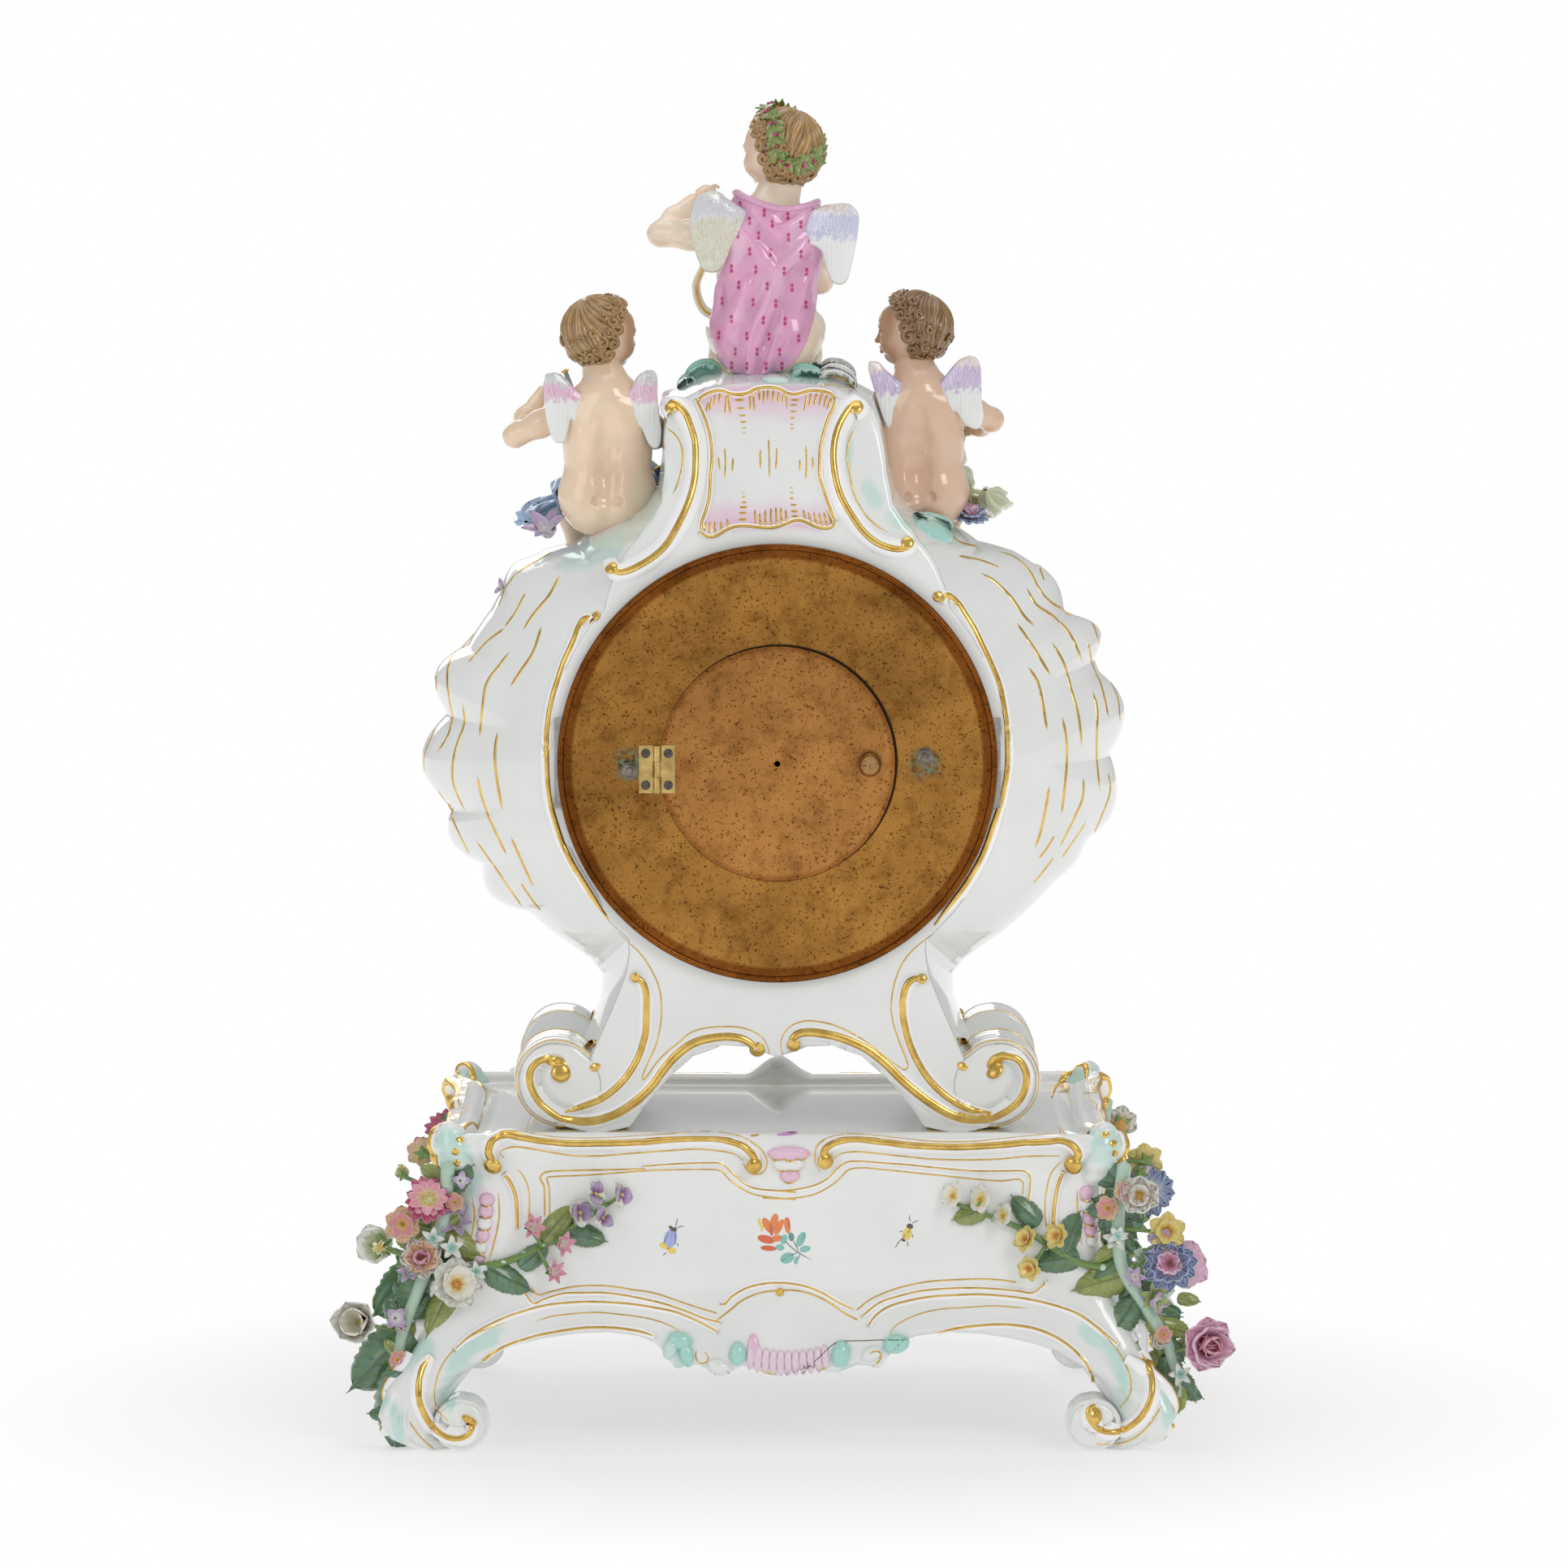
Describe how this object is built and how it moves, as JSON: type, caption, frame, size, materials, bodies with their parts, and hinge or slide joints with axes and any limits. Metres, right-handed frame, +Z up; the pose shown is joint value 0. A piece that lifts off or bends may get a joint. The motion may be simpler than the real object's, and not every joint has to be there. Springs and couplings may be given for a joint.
{
  "type": "porcelain mantel clock",
  "caption": "Scrolled porcelain mantel clock on a footed stand, with seated winged children, applied flowers, a glazed dial, a brass rear door and a striking movement.",
  "frame": {"origin": "bottom centre of the bounding box, on the floor under the stand's middle", "axes": "+Z up, the dial faces -Y, the rear door faces +Y"},
  "size_m": [0.4248, 0.2738, 0.6216],
  "materials": {
    "porcelain": "glossy white glaze with painted and gilt ornament",
    "flowers": "glossy glaze in many colours",
    "skin": "glossy glaze with pale flesh tints",
    "feathers": "glossy glaze, white with violet bands",
    "cloak": "glossy pink glaze",
    "leaves": "glossy green glaze",
    "drapery": "glossy pale glaze with gilt dots",
    "gilt": "burnished gilding on glaze",
    "putty": "dull yellowish putty",
    "old_brass": "aged, mottled",
    "brass": "polished",
    "gilt_brass": "gilt and burnished",
    "steel": "dull",
    "dark_steel": "darkened",
    "blued_steel": "blued and polished",
    "bell_metal": "polished bell metal",
    "enamel": "glossy white enamel with black numerals",
    "glass": "clear and domed"
  },
  "bodies": {
    "clock": {"stand": "porcelain", "flowers_rear_left": "flowers", "flowers_rear_right": "flowers", "flowers_front_left": "flowers", "flowers_front_right": "flowers", "foot_putty": "putty", "case_shell": "porcelain", "top_putto": "skin", "top_putto_wings": "feathers", "top_putto_cloak": "cloak", "top_putto_wreath": "leaves", "lyre": "gilt", "left_putto": "skin", "left_putto_wings": "feathers", "left_putto_drape": "drapery", "horn": "gilt", "right_putto": "skin", "right_putto_wings": "feathers", "right_putto_drape": "drapery", "drum": "drapery", "rear_plate": "old_brass", "clamp_plates": "steel", "tie_studs": "dark_steel", "tie_washers": "steel", "tie_nuts": "dark_steel", "plate_hinge_leaf": "brass", "hinge_pin": "dark_steel", "plate_screws": "dark_steel", "dial_frame": "brass", "dial": "enamel", "front_plate": "brass", "back_plate": "brass", "pillars": "brass", "suspension_cock": "brass", "bell": "bell_metal", "bell_standard": "steel"},
    "door": {"rear_door": "old_brass", "door_knob": "old_brass", "door_hinge_leaf": "brass", "door_screws": "dark_steel"},
    "bezel": {"bezel": "gilt_brass", "bezel_glass": "glass"},
    "minute": {"minute_hand": "blued_steel", "centre_wheel": "brass", "cannon_pinion": "brass", "hand_nut": "brass"},
    "hour": {"hour_hand": "blued_steel", "hour_wheel": "brass"},
    "minute_wheel": {"minute_wheel": "brass"},
    "third": {"third_wheel": "brass"},
    "escape": {"escape_wheel": "brass"},
    "time_second": {"time_second_wheel": "brass"},
    "time_barrel": {"time_barrel": "brass"},
    "time_arbor": {"time_arbor": "steel"},
    "strike_barrel": {"strike_barrel": "brass"},
    "strike_second": {"strike_second_wheel": "brass"},
    "strike_arbor": {"strike_arbor": "steel"},
    "pallets": {"pallets": "steel"},
    "pendulum": {"pendulum": "brass"},
    "hammer": {"hammer": "steel"}
  },
  "joints": [
    {"name": "door_swing", "type": "hinge", "parent": "clock", "child": "door", "pos_m": [0.0561, 0.0811, 0.3135], "axis": [0, 0, -1], "range_deg": [0, 150]},
    {"name": "bezel_swing", "type": "hinge", "parent": "clock", "child": "bezel", "pos_m": [-0.0824, -0.07745, 0.316], "axis": [0, 0, -1], "range_deg": [0, 120]},
    {"name": "minute_turn", "type": "hinge", "parent": "clock", "child": "minute", "pos_m": [0, 0, 0.316], "axis": [0, 1, 0], "continuous": true},
    {"name": "hour_turn", "type": "hinge", "parent": "clock", "child": "hour", "pos_m": [0, 0, 0.316], "axis": [0, 1, 0], "continuous": true},
    {"name": "minute_wheel_turn", "type": "hinge", "parent": "clock", "child": "minute_wheel", "pos_m": [0.00857, 0, 0.30743], "axis": [0, 1, 0], "continuous": true},
    {"name": "third_turn", "type": "hinge", "parent": "clock", "child": "third", "pos_m": [0, 0, 0.33068], "axis": [0, 1, 0], "continuous": true},
    {"name": "escape_turn", "type": "hinge", "parent": "clock", "child": "escape", "pos_m": [0, 0, 0.3444], "axis": [0, 1, 0], "continuous": true},
    {"name": "time_second_turn", "type": "hinge", "parent": "clock", "child": "time_second", "pos_m": [0.01406, 0, 0.32067], "axis": [0, 1, 0], "continuous": true},
    {"name": "time_barrel_turn", "type": "hinge", "parent": "clock", "child": "time_barrel", "pos_m": [0.021, 0, 0.302], "axis": [0, 1, 0], "continuous": true},
    {"name": "time_winding", "type": "hinge", "parent": "clock", "child": "time_arbor", "pos_m": [0.021, 0, 0.302], "axis": [0, 1, 0], "continuous": true},
    {"name": "strike_barrel_turn", "type": "hinge", "parent": "clock", "child": "strike_barrel", "pos_m": [-0.021, 0, 0.302], "axis": [0, 1, 0], "continuous": true},
    {"name": "strike_second_turn", "type": "hinge", "parent": "clock", "child": "strike_second", "pos_m": [-0.01406, 0, 0.32067], "axis": [0, 1, 0], "continuous": true},
    {"name": "strike_winding", "type": "hinge", "parent": "clock", "child": "strike_arbor", "pos_m": [-0.021, 0, 0.302], "axis": [0, 1, 0], "continuous": true},
    {"name": "pallets_rock", "type": "hinge", "parent": "clock", "child": "pallets", "pos_m": [0, 0, 0.3548], "axis": [0, 1, 0], "range_deg": [-4, 4]},
    {"name": "pendulum_swing", "type": "hinge", "parent": "clock", "child": "pendulum", "pos_m": [0, 0, 0.3548], "axis": [0, 1, 0], "range_deg": [-4, 4]},
    {"name": "hammer_lift", "type": "hinge", "parent": "clock", "child": "hammer", "pos_m": [-0.036, 0, 0.33], "axis": [0, -1, 0], "range_deg": [0, 12]}
  ],
  "couplings": [
    {"joint": "hour_turn", "follows": "minute_turn", "ratio": 0.083333},
    {"joint": "minute_wheel_turn", "follows": "minute_turn", "ratio": -0.33333},
    {"joint": "third_turn", "follows": "minute_turn", "ratio": -12},
    {"joint": "escape_turn", "follows": "minute_turn", "ratio": 133.71},
    {"joint": "time_second_turn", "follows": "minute_turn", "ratio": -0.16667},
    {"joint": "time_barrel_turn", "follows": "minute_turn", "ratio": 0.020833},
    {"joint": "strike_second_turn", "follows": "strike_barrel_turn", "ratio": -8},
    {"joint": "pallets_rock", "follows": "pendulum_swing", "ratio": 1}
  ]
}
